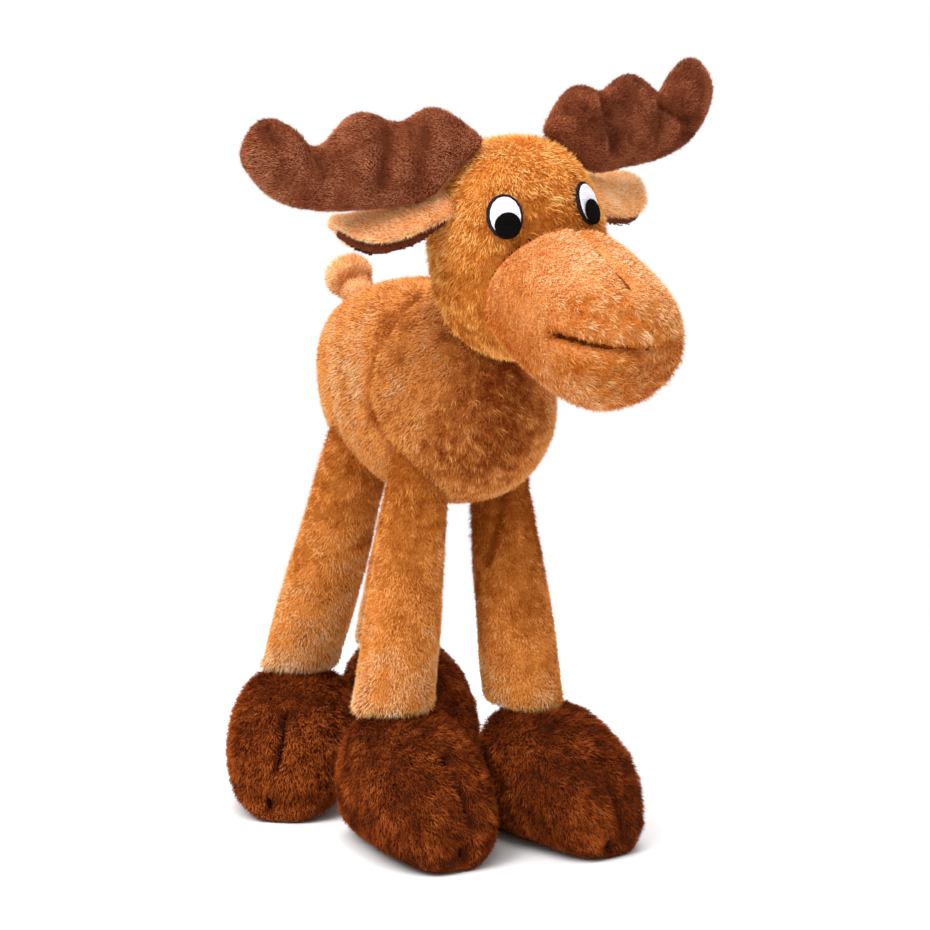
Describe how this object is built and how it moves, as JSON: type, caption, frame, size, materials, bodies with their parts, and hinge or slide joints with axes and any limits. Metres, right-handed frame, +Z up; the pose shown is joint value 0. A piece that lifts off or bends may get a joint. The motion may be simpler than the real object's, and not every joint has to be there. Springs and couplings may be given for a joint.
{
  "type": "plush moose",
  "caption": "Stuffed plush moose that stands on big slipper-like hooves, with stuffed palmate antlers, arched ears, a large rounded muzzle, sewn patch eyes and a stub tail.",
  "frame": {"origin": "on the floor, under the middle of the toy's bounding box", "axes": "+Z up; the toy faces -Y and its right side is towards -X"},
  "size_m": [0.2094, 0.2374, 0.3015],
  "materials": {
    "black_thread": "satin stitch",
    "brown_plush": "short dense pile",
    "dark_plush": "long soft pile",
    "golden_plush": "long soft pile",
    "outline_thread": "satin stitch",
    "peach_plush": "long soft pile",
    "tan_plush": "long soft pile",
    "white_thread": "satin stitch"
  },
  "bodies": {
    "torso": {"torso": "tan_plush"},
    "head": {"head": "golden_plush", "muzzle": "peach_plush", "eye_rim_right": "outline_thread", "eye_white_right": "white_thread", "pupil_right": "black_thread", "eye_rim_left": "outline_thread", "eye_white_left": "white_thread", "pupil_left": "black_thread"},
    "ear_right": {"ear_right": "golden_plush", "ear_lining_right": "brown_plush"},
    "antler_right": {"antler_right": "brown_plush"},
    "ear_left": {"ear_left": "golden_plush", "ear_lining_left": "brown_plush"},
    "antler_left": {"antler_left": "brown_plush"},
    "tail": {"tail": "tan_plush"},
    "leg_front_right": {"leg_front_right": "tan_plush", "hoof_front_right": "dark_plush"},
    "leg_front_left": {"leg_front_left": "tan_plush", "hoof_front_left": "dark_plush"},
    "leg_hind_right": {"leg_hind_right": "tan_plush", "hoof_hind_right": "dark_plush"},
    "leg_hind_left": {"leg_hind_left": "tan_plush", "hoof_hind_left": "dark_plush"}
  },
  "joints": [
    {"name": "head_nod", "type": "hinge", "parent": "torso", "child": "head", "pos_m": [0.00669, -0.01073, 0.20372], "axis": [1, 0, 0], "range_deg": [-6, 6], "stiffness_Nm_per_rad": 3},
    {"name": "ear_right_flap", "type": "hinge", "parent": "head", "child": "ear_right", "pos_m": [-0.03073, -0.03312, 0.24514], "axis": [0, -1, 0], "range_deg": [-4, 18], "stiffness_Nm_per_rad": 0.05},
    {"name": "ear_left_flap", "type": "hinge", "parent": "head", "child": "ear_left", "pos_m": [0.03552, -0.03312, 0.25152], "axis": [0, 1, 0], "range_deg": [-4, 18], "stiffness_Nm_per_rad": 0.05},
    {"name": "antler_right_sway", "type": "hinge", "parent": "head", "child": "antler_right", "pos_m": [-0.02599, -0.04055, 0.26163], "axis": [0.527, -0.1122, 0.8424], "range_deg": [-8, 8], "stiffness_Nm_per_rad": 0.3},
    {"name": "antler_left_sway", "type": "hinge", "parent": "head", "child": "antler_left", "pos_m": [0.02772, -0.04055, 0.26681], "axis": [-0.6781, -0.1122, 0.7264], "range_deg": [-8, 8], "stiffness_Nm_per_rad": 0.3},
    {"name": "tail_lift", "type": "hinge", "parent": "torso", "child": "tail", "pos_m": [0.00389, 0.0718, 0.2014], "axis": [1, 0, 0], "range_deg": [-2, 15], "stiffness_Nm_per_rad": 0.1},
    {"name": "hip_front_right", "type": "hinge", "parent": "torso", "child": "leg_front_right", "pos_m": [-0.01911, -0.00567, 0.13623], "axis": [1, 0, 0], "range_deg": [-15, 2], "stiffness_Nm_per_rad": 2},
    {"name": "hip_front_left", "type": "hinge", "parent": "torso", "child": "leg_front_left", "pos_m": [0.02068, -0.00323, 0.13226], "axis": [1, 0, 0], "range_deg": [-15, 2], "stiffness_Nm_per_rad": 2},
    {"name": "hip_hind_right", "type": "hinge", "parent": "torso", "child": "leg_hind_right", "pos_m": [-0.01911, 0.03947, 0.14134], "axis": [1, 0, 0], "range_deg": [-2, 15], "stiffness_Nm_per_rad": 2},
    {"name": "hip_hind_left", "type": "hinge", "parent": "torso", "child": "leg_hind_left", "pos_m": [0.01999, 0.05167, 0.14256], "axis": [1, 0, 0], "range_deg": [-2, 15], "stiffness_Nm_per_rad": 2}
  ]
}
